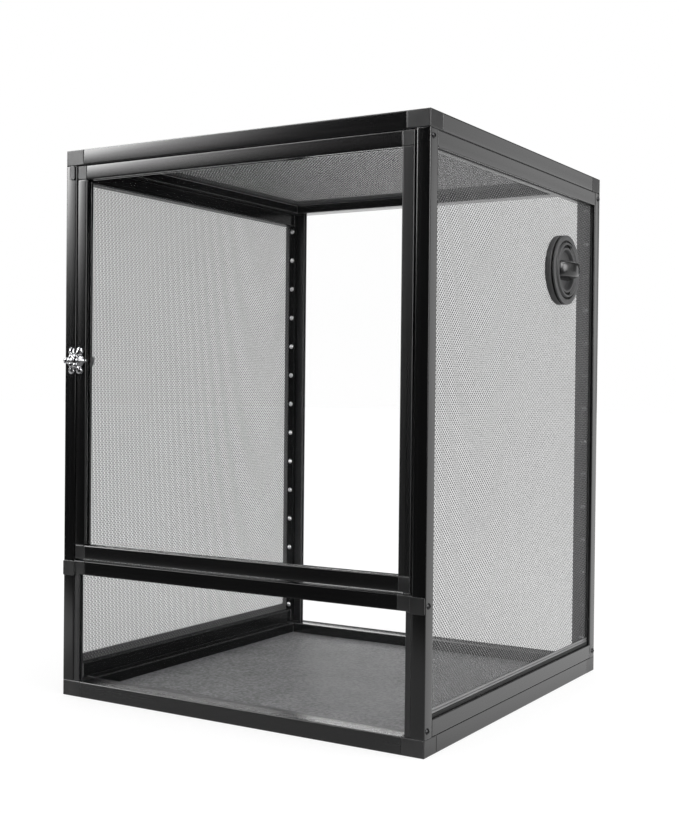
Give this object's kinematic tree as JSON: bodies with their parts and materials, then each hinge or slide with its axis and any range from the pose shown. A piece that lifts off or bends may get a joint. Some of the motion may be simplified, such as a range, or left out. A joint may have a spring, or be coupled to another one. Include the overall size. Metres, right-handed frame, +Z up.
{
  "type": "mesh reptile cage",
  "caption": "Free-standing cage of slim black rails with woven mesh sides and top, a clear hinged door over a clear window, a turn latch and a twist-lock feed port.",
  "frame": {"origin": "under the middle of the floor board, on the surface that the cage stands on", "axes": "+Z up; the door and window face -Y; the feed port is on the +X side"},
  "size_m": [0.4781, 0.4708, 0.6096],
  "materials": {
    "rail_black": "black satin coating on extruded rail",
    "block_plastic": "black moulded, fine grain",
    "screen_wire": "fine woven wire, dark coating",
    "screen_binding": "dark pressed strip",
    "spline_rubber": "matt",
    "floor_plastic": "grey speckled board",
    "clear_pane": "clear polished sheet",
    "strip_plastic": "black extruded strip, satin",
    "screw_black": "black oxide",
    "rivet_steel": "bright domed heads",
    "pin_steel": "plain steel",
    "latch_chrome": "chrome-plated casting",
    "port_plastic": "black moulded, grained rim and smooth grip"
  },
  "bodies": {
    "cage": {"top_front_rail": "rail_black", "top_rear_rail": "rail_black", "top_left_rail": "rail_black", "top_right_rail": "rail_black", "top_corner_blocks": "block_plastic", "top_hinge_block": "block_plastic", "top_mesh": "screen_wire", "top_spline": "spline_rubber", "bottom_front_rail": "rail_black", "bottom_rear_rail": "rail_black", "bottom_left_rail": "rail_black", "bottom_right_rail": "rail_black", "bottom_corner_blocks": "block_plastic", "floor_board": "floor_plastic", "left_front_stile": "rail_black", "left_rear_stile": "rail_black", "left_top_rail": "rail_black", "left_bottom_rail": "rail_black", "left_corner_keys": "block_plastic", "left_mesh": "screen_wire", "left_spline": "spline_rubber", "left_mesh_binding": "screen_binding", "left_rivets": "rivet_steel", "right_front_stile": "rail_black", "right_rear_stile": "rail_black", "right_top_rail": "rail_black", "right_bottom_rail": "rail_black", "right_corner_keys": "block_plastic", "right_mesh": "screen_wire", "right_spline": "spline_rubber", "right_mesh_binding": "screen_binding", "right_rivets": "rivet_steel", "back_left_strip": "strip_plastic", "back_right_strip": "strip_plastic", "back_pane": "clear_pane", "mid_rail": "rail_black", "mid_left_bracket": "block_plastic", "mid_right_bracket": "block_plastic", "window_left_strip": "strip_plastic", "window_right_strip": "strip_plastic", "lower_window": "clear_pane", "catch_block": "block_plastic", "panel_screws": "screw_black", "port_flange": "port_plastic", "port_ring": "port_plastic", "port_clamp_ring": "port_plastic"},
    "door": {"door_left_stile": "rail_black", "door_right_stile": "rail_black", "door_top_rail": "rail_black", "door_bottom_rail": "rail_black", "door_corner_blocks": "block_plastic", "door_hinge_blocks": "block_plastic", "door_pane": "clear_pane", "hinge_pins": "pin_steel"},
    "latch": {"latch_knob": "latch_chrome", "latch_tongue": "pin_steel", "latch_screw": "pin_steel"},
    "feed_plug": {"port_plug": "port_plastic"}
  },
  "joints": [
    {"name": "door_hinge", "type": "hinge", "parent": "cage", "child": "door", "pos_m": [0.2074, -0.2246, 0.3732], "axis": [0, 0, 1], "range_deg": [0, 110]},
    {"name": "latch_turn", "type": "hinge", "parent": "door", "child": "latch", "pos_m": [-0.2071, -0.2286, 0.375], "axis": [0, 1, 0], "range_deg": [0, 90]},
    {"name": "plug_twist", "type": "hinge", "parent": "cage", "child": "feed_plug", "pos_m": [0.235, 0.107, 0.487], "axis": [1, 0, 0], "range_deg": [0, 90]}
  ]
}
